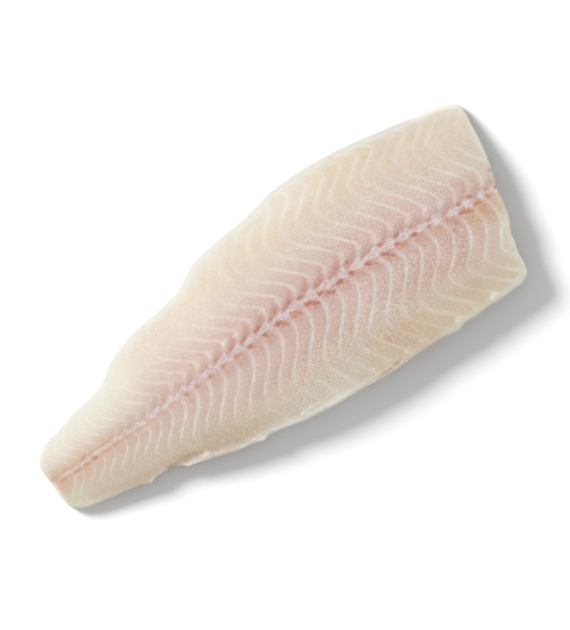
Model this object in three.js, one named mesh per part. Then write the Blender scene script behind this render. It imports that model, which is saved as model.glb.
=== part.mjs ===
// Hake fillet, skinless and boneless, lying flat with its flesh side up.
// Millimetres, +Z up, +X from the tail to the head end, +Y to the back (dorsal) edge.
// The origin is on the resting face, at the centre of the fillet's plan.
import * as THREE from 'three';
import { mergeVertices } from 'three/addons/utils/BufferGeometryUtils.js';

// ---- overall sizes -------------------------------------------------------
const LENGTH = 250;           // tail tip to the furthest corner of the head cut
const WIDTH = 100;            // widest place, about two thirds of the way up
const THICKNESS = 18;         // thickest place of the loin
const TAIL_X = -LENGTH / 2;   // square-cut tail end
const HEAD_X = LENGTH / 2;    // upper corner of the head cut
const CUT_MIDDLE_X = 117.4;   // head cut where the midline meets it
const CUT_LOWER_X = 109.0;    // head cut near its lower corner
const CORNER_UPPER = 7;       // reach of the rounded upper head corner
const CORNER_LOWER = 7;       // reach of the rounded lower head corner
const CORNER_TAIL = 8;        // reach of the rounded tail corners

// ---- stations: x, back edge, belly edge, midline -------------------------
const HALF = WIDTH / 2;
const STATIONS = [
  [-125, 0.22, -0.44, -0.10],
  [-114, 0.26, -0.47, -0.095],
  [-103, 0.31, -0.51, -0.09],
  [-89, 0.36, -0.57, -0.085],
  [-78, 0.43, -0.59, -0.085],
  [-67, 0.555, -0.65, -0.08],
  [-54, 0.63, -0.74, -0.065],
  [-40, 0.665, -0.81, -0.045],
  [-27, 0.735, -0.86, -0.03],
  [-17, 0.835, -0.89, -0.015],
  [-5, 0.885, -0.93, 0.0],
  [11, 0.915, -0.95, 0.01],
  [27, 0.972, -0.97, 0.01],
  [43, 0.998, -0.98, 0.005],
  [60, 0.984, -1.0, 0.0],
  [80, 0.926, -1.0, -0.04],
  [100, 0.843, -0.995, -0.085],
  [113, 0.795, -0.95, -0.11],
  [125, 0.74, -0.85, -0.12],
];

// ---- thickness along the midline, and how it falls off to each edge -------
const THICK_AT = [
  [-125, 0.35], [-105, 0.47], [-80, 0.60], [-50, 0.77], [-15, 0.915],
  [25, 0.995], [65, 0.97], [100, 0.92], [125, 0.87],
];
const DROP_BACK = 0.80;       // share of the height lost at the back edge
const DROP_BELLY = 0.10;      // share of the height lost at the belly edge
const GROOVE_DEPTH = 0.25;    // furrow along the midline
const GROOVE_HALF = 3.2;
const RIM_BACK = 3;           // how far the rounding reaches in from each edge
const RIM_BELLY = 0.8;
const RIM_TAIL = 2;
const RIM_CUT = 1;
const RIM_SLIM = 0.7;         // share of the side rounding left at the tail
const TUCK = 0.32;            // how far the side tucks in below, share of its height
const WIDEST = 0.46;          // height of the widest line, share of the side

// ---- mesh density ---------------------------------------------------------
const AROUND = 176;           // columns round the outline (even)
const TOP_ROWS = 9;           // rows from the midline to the shoulder
const RIM_ROWS = 5;           // rows from the shoulder to the widest line
const BASE_ROWS = 4;          // rows from the widest line to the resting face
const UNDER_ROWS = 2;         // rows under the fillet

const column = (table, c, k = 1) => new THREE.CubicInterpolant(
  Float32Array.from(table, (r) => r[0]), Float32Array.from(table, (r) => r[c] * k), 1);
const backAt = column(STATIONS, 1, HALF);
const bellyAt = column(STATIONS, 2, HALF);
const midAt = column(STATIONS, 3, HALF);
const thickAt = column(THICK_AT, 1, THICKNESS);
const at = (f, x) => f.evaluate(THREE.MathUtils.clamp(x, TAIL_X, HEAD_X))[0];
const edgePoints = (f, from, to, n) => Array.from({ length: n + 1 }, (_, i) => {
  const x = THREE.MathUtils.lerp(from, to, i / n);
  return new THREE.Vector2(x, at(f, x));
});

// Upper half of the outline: head cut, upper corner, back edge, tail corner.
function backPath() {
  const corner = at(backAt, HEAD_X - 2);
  const p = new THREE.Path();
  p.moveTo(CUT_MIDDLE_X, at(midAt, HEAD_X));
  p.quadraticCurveTo(HEAD_X - 2.5, 8, HEAD_X - 0.4, corner - CORNER_UPPER);
  p.quadraticCurveTo(HEAD_X + 0.2, corner + 0.4, HEAD_X - CORNER_UPPER, at(backAt, HEAD_X - CORNER_UPPER));
  p.splineThru(edgePoints(backAt, HEAD_X - CORNER_UPPER, TAIL_X + CORNER_TAIL, 40).slice(1));
  p.quadraticCurveTo(TAIL_X, at(backAt, TAIL_X + 2), TAIL_X, 2);
  p.lineTo(TAIL_X + 0.6, at(midAt, TAIL_X));
  return p;
}

// Lower half, from the head cut round the belly edge to the tail.
function bellyPath() {
  const p = new THREE.Path();
  p.moveTo(CUT_MIDDLE_X, at(midAt, HEAD_X));
  p.quadraticCurveTo(CUT_LOWER_X + 4.5, -22, CUT_LOWER_X - 1, -HALF + CORNER_LOWER);
  p.quadraticCurveTo(CUT_LOWER_X - 3, -HALF + 0.4, CUT_LOWER_X - 3 - CORNER_LOWER, -HALF + 0.25);
  p.splineThru(edgePoints(bellyAt, CUT_LOWER_X - 5 - CORNER_LOWER, TAIL_X + CORNER_TAIL, 40).slice(1));
  p.quadraticCurveTo(TAIL_X + 1, at(bellyAt, TAIL_X + 2), TAIL_X + 0.6, -14);
  p.lineTo(TAIL_X + 0.6, at(midAt, TAIL_X));
  return p;
}

const half = AROUND / 2;
const backRing = backPath().getSpacedPoints(half);
const bellyRing = bellyPath().getSpacedPoints(half);

// The outline is brought to the exact length and width, centred on the origin.
const plan = new THREE.Box2().setFromPoints([...backRing, ...bellyRing]);
const planSize = plan.getSize(new THREE.Vector2());
const planMiddle = plan.getCenter(new THREE.Vector2());
for (const ring of [backRing, bellyRing]) {
  for (const p of ring) p.sub(planMiddle).multiply(new THREE.Vector2(LENGTH / planSize.x, WIDTH / planSize.y));
}

// Where each column meets the midline: midway between the two edges, and always
// a little further towards the tail than the column before.
const SPINE_HEAD = CUT_MIDDLE_X - 16;
const SPINE_TAIL = TAIL_X + 7;
const SPINE_STEP = 0.15;
const spineX = [];
for (let k = 0; k <= half; k += 1) {
  const mean = (backRing[k].x + bellyRing[k].x) / 2;
  const f = (mean - TAIL_X) / (CUT_MIDDLE_X - 4 - TAIL_X);
  const x = THREE.MathUtils.lerp(SPINE_TAIL, SPINE_HEAD, Math.min(f, 1));
  spineX.push(k === 0 ? x : Math.min(x, spineX[k - 1] - SPINE_STEP));
}
spineX[0] = spineX[1];
spineX[half] = spineX[half - 1];

// One column of the outline: its edge point, its point on the midline, its
// inward direction and how much of that direction points straight inward.
function columnOf(k) {
  const upper = k <= half;
  const ring = upper ? backRing : bellyRing;
  const i = upper ? k : AROUND - k;
  const edge = ring[i];
  const before = ring[Math.max(i - 1, 0)];
  const after = ring[Math.min(i + 1, half)];
  const tangent = after.clone().sub(before).normalize();
  const inward = upper ? new THREE.Vector2(-tangent.y, tangent.x) : new THREE.Vector2(tangent.y, -tangent.x);
  const spine = new THREE.Vector2(spineX[i], at(midAt, spineX[i]));
  const reach = spine.distanceTo(edge);
  const dir = spine.clone().sub(edge).divideScalar(reach);
  const square = Math.max(dir.dot(inward), 0.6);
  const onCut = THREE.MathUtils.smoothstep(Math.abs(inward.x), 0.55, 0.9);
  const sideRim = upper ? RIM_BACK : RIM_BELLY;
  const endRim = edge.x > 0 ? RIM_CUT : RIM_TAIL;
  const taper = THREE.MathUtils.lerp(RIM_SLIM, 1, THREE.MathUtils.smoothstep(edge.x, TAIL_X, 0));
  const rim = Math.min(THREE.MathUtils.lerp(sideRim * taper, endRim, onCut), 0.6 * reach * square);
  return { edge, spine, reach, dir, square, rim };
}

// Height of the flesh over the resting face.
function topAt(x, y) {
  const mid = at(midAt, x);
  const back = y > mid;
  const t = THREE.MathUtils.clamp((y - mid) / ((back ? at(backAt, x) : at(bellyAt, x)) - mid), 0, 1);
  const fall = back ? DROP_BACK * t ** 2 : DROP_BELLY * t ** 3;
  const groove = GROOVE_DEPTH * Math.exp(-(((y - mid) / GROOVE_HALF) ** 2) / 2);
  return at(thickAt, x) * (1 - fall) - groove;
}

const ROWS = TOP_ROWS + RIM_ROWS + BASE_ROWS + UNDER_ROWS;
const columns = Array.from({ length: AROUND }, (_, k) => columnOf(k));

// The rounding and the slant of the columns change gradually from each side to the ends.
const BLEND_PASSES = 10;
for (let pass = 0; pass < BLEND_PASSES; pass += 1) {
  const old = columns.map((c) => [c.rim, c.square]);
  columns.forEach((c, k) => {
    const a = old[(k + AROUND - 1) % AROUND];
    const b = old[(k + 1) % AROUND];
    c.rim = (a[0] + 2 * old[k][0] + b[0]) / 4;
    c.square = (a[1] + 2 * old[k][1] + b[1]) / 4;
  });
}

// One vertex of the skin: row 0 is the midline on top, the last row the
// midline on the resting face.
function skin(k, row) {
  const c = columns[k % AROUND];
  const inset = (d) => c.edge.clone().addScaledVector(c.dir, d / c.square);
  if (row <= TOP_ROWS) {
    const shoulder = c.rim / c.square / c.reach;
    const s = row / TOP_ROWS;
    const p = c.spine.clone().lerp(c.edge, s * (1 - shoulder));
    return new THREE.Vector3(p.x, p.y, topAt(p.x, p.y));
  }
  const side = topAt(c.edge.x, c.edge.y);
  const widest = WIDEST * side;
  if (row <= TOP_ROWS + RIM_ROWS) {
    const a = (Math.PI / 2) * (1 - (row - TOP_ROWS) / RIM_ROWS);
    const p = inset(c.rim * (1 - Math.cos(a)));
    return new THREE.Vector3(p.x, p.y, widest + (topAt(p.x, p.y) - widest) * Math.sin(a));
  }
  if (row <= TOP_ROWS + RIM_ROWS + BASE_ROWS) {
    const a = (Math.PI / 2) * ((row - TOP_ROWS - RIM_ROWS) / BASE_ROWS);
    const p = inset(TUCK * side * (1 - Math.cos(a)));
    return new THREE.Vector3(p.x, p.y, widest * (1 - Math.sin(a)));
  }
  const s = (row - TOP_ROWS - RIM_ROWS - BASE_ROWS) / UNDER_ROWS;
  const p = inset(TUCK * side).lerp(c.spine, s);
  return new THREE.Vector3(p.x, p.y, 0);
}

// The skin is an open tube wrapped over the fillet; its two open ends close
// along the midline, above and below.
const tube = new THREE.CylinderGeometry(1, 1, 1, AROUND, ROWS, true);
const position = tube.getAttribute('position');
for (let row = 0; row <= ROWS; row += 1) {
  for (let k = 0; k <= AROUND; k += 1) {
    const v = skin(k, row);
    position.setXYZ(row * (AROUND + 1) + k, v.x, v.y, v.z);
  }
}
tube.deleteAttribute('normal');
tube.deleteAttribute('uv');
const body = mergeVertices(tube, 1e-3);
const corners = body.getIndex().array;
const faces = [];
for (let i = 0; i < corners.length; i += 3) {
  const [a, b, c] = corners.slice(i, i + 3);
  if (a !== b && b !== c && c !== a) faces.push(a, b, c);
}
body.setIndex(faces);
body.computeVertexNormals();

const flesh = new THREE.MeshStandardMaterial({ color: 0xdfc9b4, roughness: 0.5, metalness: 0 });
const fillet = new THREE.Mesh(body, flesh);
fillet.name = 'fillet';

const group = new THREE.Group();
group.add(fillet);
export default group;
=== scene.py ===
import math
import bpy
import numpy as np
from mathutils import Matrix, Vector


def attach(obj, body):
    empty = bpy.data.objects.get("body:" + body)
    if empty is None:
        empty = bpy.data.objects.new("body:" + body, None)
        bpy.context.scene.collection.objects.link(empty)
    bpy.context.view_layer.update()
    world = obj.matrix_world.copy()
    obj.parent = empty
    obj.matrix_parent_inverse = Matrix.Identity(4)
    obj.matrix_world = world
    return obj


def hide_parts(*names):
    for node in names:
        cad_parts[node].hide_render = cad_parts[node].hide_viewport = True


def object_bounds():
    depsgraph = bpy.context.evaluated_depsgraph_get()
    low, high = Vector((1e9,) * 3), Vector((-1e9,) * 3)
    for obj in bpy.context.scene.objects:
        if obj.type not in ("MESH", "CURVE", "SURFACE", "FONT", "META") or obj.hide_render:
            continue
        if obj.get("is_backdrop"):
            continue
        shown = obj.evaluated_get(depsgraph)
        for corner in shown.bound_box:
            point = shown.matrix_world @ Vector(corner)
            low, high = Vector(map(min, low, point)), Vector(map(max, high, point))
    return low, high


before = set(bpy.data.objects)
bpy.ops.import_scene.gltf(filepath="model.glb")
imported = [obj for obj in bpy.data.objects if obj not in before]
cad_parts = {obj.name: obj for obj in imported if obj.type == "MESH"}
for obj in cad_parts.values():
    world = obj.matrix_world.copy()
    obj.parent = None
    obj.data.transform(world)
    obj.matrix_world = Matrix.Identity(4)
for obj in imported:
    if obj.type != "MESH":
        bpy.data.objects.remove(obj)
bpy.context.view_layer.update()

# A raw, skinless hake fillet lying flesh side up. All lengths are in
# millimetres until the mesh is made: +X from tail to head cut, +Y to the back
# edge, +Z up from the face it rests on.

rng = np.random.default_rng(7)
MM = 0.001

# ---------------------------------------------------------------------------
# Named shape tables
# ---------------------------------------------------------------------------

# Plan outline, back side: from the middle of the head cut round the upper
# corner and along the back edge to the middle of the tail end.
OUTLINE_BACK = [
    (117.3, -5.5), (119.8, 1.8), (121.2, 7.2), (122.4, 12.6), (123.3, 19.0), (123.9, 25.2),
    (124.6, 30.2), (124.0, 34.0), (120.6, 36.8), (115.5, 38.8), (108.6, 40.4), (102.8, 41.4),
    (89.3, 44.2), (73.0, 47.2), (56.8, 49.3), (40.6, 49.8), (31.0, 49.3), (24.3, 47.9),
    (17.0, 46.4), (10.8, 45.6), (-5.4, 44.1), (-16.2, 42.0), (-22.5, 39.0), (-27.5, 36.0),
    (-36.0, 34.0), (-43.3, 32.8), (-54.1, 31.5), (-62.2, 29.7), (-67.6, 27.7), (-73.0, 25.3),
    (-78.5, 21.4), (-83.0, 19.1), (-89.3, 17.7), (-97.0, 16.5), (-104.0, 15.3), (-108.5, 13.6),
    (-114.5, 12.8), (-119.0, 10.9), (-122.4, 8.2), (-124.4, 5.4), (-124.9, 1.8), (-124.4, -4.6),
]
# Belly side, from the middle of the head cut to the middle of the tail end.
OUTLINE_BELLY = [
    (117.3, -5.5), (116.6, -8.6), (116.2, -12.0), (115.5, -16.0), (114.2, -20.4), (113.0, -23.6),
    (111.4, -26.1), (110.6, -28.5), (110.4, -31.0), (109.4, -34.2), (108.7, -37.5), (108.3, -41.0),
    (107.8, -44.0), (106.7, -46.5), (104.6, -47.9), (101.6, -48.7), (96.8, -48.9), (90.0, -49.2),
    (84.0, -48.9), (77.0, -49.3), (72.4, -49.0), (66.4, -49.9), (60.0, -49.2), (52.0, -48.8),
    (43.3, -48.6), (36.0, -48.7), (29.0, -48.6), (22.5, -48.2), (14.5, -47.4), (5.4, -47.0),
    (-5.4, -46.0), (-12.6, -45.0), (-18.9, -43.6), (-24.3, -42.4), (-30.4, -41.4), (-33.8, -42.1),
    (-36.9, -41.0), (-45.1, -39.4), (-54.1, -36.8), (-59.5, -35.2), (-63.1, -34.1), (-66.3, -33.2),
    (-67.8, -33.1), (-69.1, -32.7), (-69.6, -31.9), (-70.7, -31.0), (-75.7, -28.9), (-80.4, -28.5),
    (-84.6, -28.8), (-86.4, -29.9), (-88.2, -28.9), (-92.0, -27.8), (-97.3, -26.6), (-107.0, -24.7),
    (-114.0, -23.4), (-119.0, -21.9), (-121.9, -20.3), (-123.6, -17.4), (-124.4, -12.6), (-124.4, -4.6),
]
# Edges without their corners, and the midline, along the length.
STATION_X = [-125, -114, -103, -89, -78, -67, -54, -40, -27, -17, -5, 11, 27, 43, 60, 80, 100, 113, 125]
EDGE_BACK = [11.0, 13.0, 15.5, 18.0, 21.5, 27.8, 31.5, 33.3, 36.8, 41.8, 44.3, 45.8, 48.6, 49.9, 49.2, 46.3, 42.2, 39.8, 37.0]
EDGE_BELLY = [-22, -23.5, -25.5, -28.5, -29.5, -32.5, -37.0, -40.5, -43.0, -44.5, -46.5, -47.5, -48.5, -49.0, -50.0, -50.0, -49.8, -47.5, -42.5]
MIDLINE_X = [-124.4, -112.7, -87.0, -73.0, -60.0, -32.0, -9.5, 14.9, 37.4, 60.0, 70.3, 87.0, 101.0, 109.6, 115.9, 124.4]
MIDLINE_Y = [-4.64, -4.64, -4.06, -4.33, -3.52, -2.07, -0.95, 0.45, 0.45, -0.14, -0.68, -3.52, -4.91, -5.18, -6.04, -6.31]

# Thickness along the midline and how the dome falls to the edges.
THICK_X = [-125, -105, -80, -50, -15, 25, 65, 100, 125]
THICK = [6.3, 8.5, 10.8, 13.9, 16.5, 17.9, 17.5, 16.6, 15.7]
DROP_BACK, DROP_BELLY = 0.80, 0.10
RIM_BACK, RIM_BELLY, RIM_TAIL, RIM_CUT = 3.0, 0.8, 2.0, 1.0
TUCK = 0.32                  # how far the side tucks in below, share of its height
WIDEST = 0.46

# Muscle blocks: where the white sheet between two blocks stands at its
# shoulder, for the back half and the belly half.
SEPTA_BACK = [-123.4, -113.2, -108.3, -103.0, -97.6, -92.2, -87.0, -81.6, -75.6, -69.2, -62.9, -55.4, -47.9,
              -40.4, -33.2, -25.3, -17.4, -9.4, -1.4, 6.8, 14.9, 23.5, 31.7, 40.7, 49.3, 58.3, 66.4, 75.3,
              83.4, 91.5, 99.0, 106.4, 113.1, 120.4, 127.1, 134.0, 141.0]
SEPTA_BELLY = [-123.7, -113.6, -109.0, -103.6, -97.8, -92.4, -85.9, -80.0, -73.9, -68.0, -61.7, -54.7, -47.7,
               -40.7, -33.2, -25.6, -17.4, -9.3, -1.3, 6.7, 15.0, 23.3, 31.9, 40.5, 48.8, 57.3, 65.2, 73.5,
               81.3, 89.1, 97.1, 104.2, 111.0, 117.8, 124.6, 131.4, 138.0]
# The zigzag of one sheet. Each row is how far it lies ahead of its shoulder
# (tailward is negative) at one step outwards; each column is one station along
# the length. Steps: 0 midline, 1 shoulder, 2 valley, 3 second peak, 4 edge.
ZIG_STEP = [0, 0.5, 1, 1.33, 1.67, 2, 2.33, 2.67, 3, 4]
ZIG_X = [-120.8, -94.7, -67.6, -40.6, -13.5, 18.0, 49.6, 72.1, 94.7, 112.7, 130.7]
ZIG_BACK = [
    [-1.2, -1.6, -2.0, -2.4, -2.6, -2.8, -2.8, -2.8, -3.0, -3.0, -3.0],
    [-0.8, -0.8, -0.8, -1.0, -1.1, -1.1, -1.2, -1.2, -1.2, -1.2, -1.2],
    [0.2, 0.1, 0.9, 0.3, -0.3, 0.1, 0.4, 0.5, 0.5, 0.0, 0.0],
    [-1.4, -2.5, -5.0, -7.0, -6.8, -6.1, -5.2, -4.5, -4.7, -4.9, -4.2],
    [-3.8, -5.7, -9.2, -12.7, -14.3, -14.2, -13.1, -11.2, -12.2, -10.1, -7.9],
    [-5.4, -7.2, -9.7, -13.8, -16.2, -17.0, -15.8, -14.6, -14.0, -11.5, -9.8],
    [-5.5, -7.1, -8.8, -11.9, -13.8, -14.4, -12.0, -10.9, -10.6, -7.6, -6.5],
    [-4.7, -6.0, -7.7, -10.1, -10.2, -9.6, -6.4, -5.6, -6.7, -3.7, -2.8],
    [-3.9, -5.0, -6.5, -8.2, -7.0, -6.1, -3.6, -2.6, -3.0, -1.3, -0.3],
    [-2.2, -3.6, -5.6, -7.6, -7.0, -8.5, -9.3, -10.7, -8.3, -4.3, -2.2],
]
ZIG_BELLY = [
    [0.0, 0.0, 0.3, 0.5, 0.3, -0.3, -2.2, -2.5, -2.2, -2.1, -2.0],
    [-0.1, -0.1, 0.2, 0.7, 0.2, -0.7, -2.1, -1.9, -1.0, -0.9, -0.9],
    [0.0, 0.0, 0.2, 0.3, 0.0, -0.3, -0.3, -0.8, -1.2, -0.2, -0.1],
    [-1.0, -1.4, -1.7, -3.0, -3.6, -3.6, -3.6, -4.0, -3.2, -1.5, -1.5],
    [-3.7, -4.9, -5.8, -8.9, -10.9, -10.8, -10.2, -10.0, -7.4, -4.5, -4.5],
    [-6.5, -7.6, -8.9, -12.7, -15.0, -14.9, -16.1, -14.6, -12.2, -7.0, -6.9],
    [-6.3, -7.0, -7.5, -11.4, -13.2, -13.2, -14.6, -14.0, -10.7, -5.0, -4.8],
    [-5.6, -5.7, -5.7, -9.5, -11.6, -11.7, -12.3, -11.9, -6.5, -1.7, -1.4],
    [-5.8, -5.8, -5.3, -9.0, -10.7, -10.2, -9.3, -8.1, -1.2, 1.9, 1.9],
    [-3.2, -2.3, -2.3, -5.8, -7.7, -7.5, -5.7, -1.3, 5.5, 5.4, 5.4],
]
# How far out each step lies, at the same stations.
STEP_BACK = {1: [2.7, 3.0, 4.9, 6.4, 6.8, 6.8, 7.1, 7.6, 8.8, 9.9, 9.9],
             2: [10.2, 12.3, 21.2, 27.5, 28.9, 31.0, 31.2, 31.1, 33.3, 33.4, 33.4],
             3: [14.7, 17.7, 28.5, 35.5, 40.1, 44.5, 43.7, 42.5, 43.1, 41.9, 41.9]}
STEP_BELLY = {1: [2.3, 3.5, 4.5, 5.6, 6.5, 6.9, 7.1, 9.0, 9.0, 9.9, 9.9],
              2: [9.6, 11.9, 15.0, 22.1, 27.9, 29.7, 29.0, 28.9, 25.6, 25.2, 25.2],
              3: [13.9, 17.7, 22.5, 30.0, 36.8, 40.4, 40.6, 39.7, 38.0, 37.9, 37.9]}
DEPTH_SLANT = 0.8            # the sheets lean tailward into the flesh

# Marks seen on the flesh: centre x, y, length, width, turn in degrees, strength.
# SPOTS: red-brown dots under the midline. BLOCK_ENDS: dark ends of the blocks
# above it. TAN_MARKS: brown and orange tissue. WHITE_MARKS: pale knots where
# sheets meet. MEMBRANE: scraps of white skin along the belly edge.
SPOTS = [
    (-118.1, -6.3, 3.6, 1.1, 0, 0.45), (-111.8, -6.5, 5.4, 1.1, 0, 0.5), (-106.4, -6.1, 3.6, 1.1, 0, 0.55),
    (-101.0, -6.1, 3.6, 1.4, 0, 0.6), (-95.6, -6.3, 4.1, 0.9, 0, 0.45), (-90.2, -5.9, 3.2, 1.4, 0, 0.45),
    (-83.9, -6.1, 3.6, 1.4, 0, 0.4), (-78.0, -6.3, 3.6, 1.4, 0, 0.35), (-71.2, -5.9, 4.1, 1.8, 0, 0.3),
    (-65.4, -5.4, 3.6, 1.4, 0, 0.35), (-58.6, -5.0, 4.1, 1.8, 0, 0.4), (-51.6, -5.0, 2.7, 2.3, 0, 0.7),
    (-45.3, -5.0, 2.7, 2.3, 0, 0.7), (-38.1, -4.5, 3.2, 1.8, 0, 0.75), (-30.2, -3.8, 3.2, 2.3, 15, 0.7),
    (-23.0, -3.6, 3.6, 2.3, -10, 0.6), (-14.9, -3.6, 4.1, 2.3, -20, 0.75), (-6.8, -2.7, 2.7, 1.8, 0, 0.8),
    (-5.4, -4.1, 3.6, 2.3, 0, 0.5), (0.9, -2.0, 3.2, 2.0, 0, 1), (3.8, -3.8, 3.6, 2.3, -20, 0.8),
    (9.5, -1.4, 3.6, 1.1, -10, 0.7), (8.6, -3.2, 3.6, 1.8, 0, 0.6), (11.3, -3.4, 1.4, 1.4, 0, 0.8),
    (17.1, -2.0, 4.1, 1.8, -5, 1), (20.3, -3.8, 3.6, 2.0, -35, 0.8), (24.3, -1.1, 3.6, 1.6, -10, 0.9),
    (27.1, -2.7, 3.6, 1.8, -40, 0.9), (29.3, -3.8, 2.3, 1.4, -20, 0.9), (34.3, -2.0, 4.1, 2.0, 0, 1),
    (32.0, -1.4, 1.8, 0.9, 10, 0.8), (37.4, -3.6, 1.4, 1.4, 0, 0.6), (41.0, -1.4, 2.7, 2.3, 20, 0.75),
    (42.8, -4.1, 3.6, 2.7, 0, 0.3), (50.0, -2.3, 3.2, 1.8, -10, 0.95), (52.8, -4.1, 3.6, 1.8, -35, 0.5),
    (57.3, -2.3, 2.7, 1.4, -10, 0.9), (59.1, -3.6, 3.6, 1.8, -45, 0.9), (61.3, -5.4, 2.3, 1.4, -30, 0.9),
    (65.4, -1.8, 2.7, 1.4, 0, 0.8), (67.2, -3.6, 4.5, 2.7, -20, 0.5), (63.6, -3.6, 1.4, 1.4, 0, 0.5),
    (73.5, -2.9, 4.1, 1.8, 0, 0.85), (76.6, -4.5, 2.7, 1.8, 0, 0.35), (81.6, -3.4, 1.8, 1.4, 0, 0.85),
    (83.9, -5.9, 3.6, 1.8, 0, 0.3), (89.7, -2.7, 2.3, 1.8, 0, 0.45), (90.2, -5.9, 2.3, 1.8, 0, 0.45),
    (91.5, -7.2, 3.6, 2.3, 0, 0.3), (97.4, -6.5, 2.7, 1.6, 0, 0.9), (100.1, -7.7, 4.1, 2.0, -20, 0.9),
    (105.0, -7.0, 3.6, 1.4, 10, 0.85), (106.4, -7.7, 1.4, 1.1, 0, 1), (111.8, -7.2, 3.2, 1.6, -15, 1),
]
BLOCK_ENDS = [
    (-115.9, -2.9, 4.1, 1.1, 0, 0.5), (-110.9, -3.2, 3.6, 0.9, 0, 0.4), (-106.4, -2.9, 4.5, 1.4, 0, 0.6),
    (-100.1, -3.2, 4.5, 1.1, 0, 0.45), (-94.2, -2.9, 3.6, 1.1, 0, 0.5), (-84.8, -2.3, 2.7, 0.9, 0, 0.25),
    (-80.3, -2.5, 2.7, 0.9, 0, 0.3), (-72.6, -1.4, 3.6, 1.4, 0, 0.3), (-66.3, -1.4, 3.6, 1.4, 0, 0.25),
    (-60.4, -1.6, 3.2, 1.1, 0, 0.3), (-52.8, -1.6, 3.2, 1.1, 0, 0.3), (-45.5, -0.7, 4.1, 1.1, 10, 0.6),
    (-39.2, -0.5, 3.6, 1.6, -5, 0.55), (-31.6, 0.2, 3.6, 1.6, 25, 0.55), (-23.4, 0.2, 3.6, 1.4, 20, 0.7),
    (-16.2, 0.7, 4.1, 1.4, 10, 0.85), (-8.6, 1.4, 5.0, 1.4, 10, 0.85), (-0.9, 1.8, 2.7, 1.4, 10, 0.9),
    (2.3, 3.8, 5.4, 3.2, 35, 0.5), (6.3, 2.3, 2.3, 1.4, -20, 0.7), (9.5, 3.2, 5.0, 1.4, 12, 0.75),
    (15.3, 2.3, 2.7, 1.8, 0, 0.9), (18.9, 4.1, 3.6, 2.7, 45, 0.4), (24.3, 2.7, 2.3, 1.8, 0, 0.9),
    (27.1, 3.4, 2.7, 1.4, 10, 0.6), (33.8, 2.5, 2.7, 1.4, 20, 0.5), (36.5, 4.5, 4.1, 2.7, 35, 0.45),
    (41.7, 3.6, 2.7, 2.5, 0, 0.85), (46.0, 5.9, 3.6, 2.7, 45, 0.3), (49.1, 4.1, 1.8, 1.4, 0, 0.4),
    (49.6, 2.0, 2.3, 1.4, 0, 0.45), (52.8, 4.1, 1.8, 1.4, 0, 0.3), (58.6, 2.0, 3.6, 1.8, 0, 0.85),
    (62.2, 3.6, 3.6, 2.3, 40, 0.5), (67.2, 1.4, 3.2, 1.8, 10, 0.75), (69.9, 3.2, 2.7, 2.3, 45, 0.35),
    (73.9, 0.9, 3.2, 1.8, 0, 0.55), (77.1, 0.2, 2.3, 1.4, 0, 0.4), (81.2, 0.5, 1.8, 1.4, 0, 0.5),
    (83.0, -0.9, 3.2, 1.1, -35, 0.65), (89.7, -1.8, 2.3, 1.4, 0, 0.45), (94.7, 0.5, 2.3, 1.8, 0, 0.3),
    (97.8, -2.7, 2.3, 1.8, 0, 0.7), (104.1, -2.7, 2.3, 2.3, 0, 0.7), (106.4, -4.1, 1.8, 1.4, 0, 0.45),
    (111.4, -3.6, 2.7, 1.8, 0, 0.4),
]
TAN_MARKS = [
    (-121.8, -4.4, 4.2, 6.4, 0, 0.8), (-121.6, -8.0, 3.0, 4.0, 0, 0.5), (-119.6, -1.8, 3.2, 1.6, 0, 0.5),
    (-120.8, -9.5, 1.4, 2.3, 0, 0.4), (-85.8, -26.1, 1.8, 1.1, 0, 0.9), (-74.0, -28.2, 8.0, 2.2, -8, 1.0),
    (-67.0, -29.2, 10.5, 2.4, -6, 0.95), (-60.5, -30.6, 7.6, 2.0, -10, 0.6), (21.6, -47.6, 5.4, 1.1, 0, 0.3),
    (28.9, -47.3, 9.9, 1.8, 2, 0.8), (35.2, -46.3, 7.2, 1.4, 8, 0.9), (41.5, -47.8, 5.4, 1.1, 0, 0.4),
    (15.8, 41.5, 10.8, 3.6, 3, 0.34), (20.3, 41.9, 4.5, 2.3, 0, 0.32), (62.2, 47.2, 1.4, 0.9, -10, 0.9),
    (106.0, -10.8, 6.8, 4.5, 0, 0.55), (111.4, -9.9, 3.6, 3.6, 0, 0.4), (99.2, -10.8, 4.5, 4.5, 0, 0.25),
    (115.9, -5.4, 1.6, 2.5, 15, 1), (116.8, -3.2, 1.4, 2.7, 20, 0.5), (118.6, 2.3, 1.4, 2.0, 0, 1),
    (111.8, -3.6, 4.1, 2.3, 0, 0.45), (109.6, -0.9, 7.2, 3.6, 0, 0.3),
]
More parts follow.
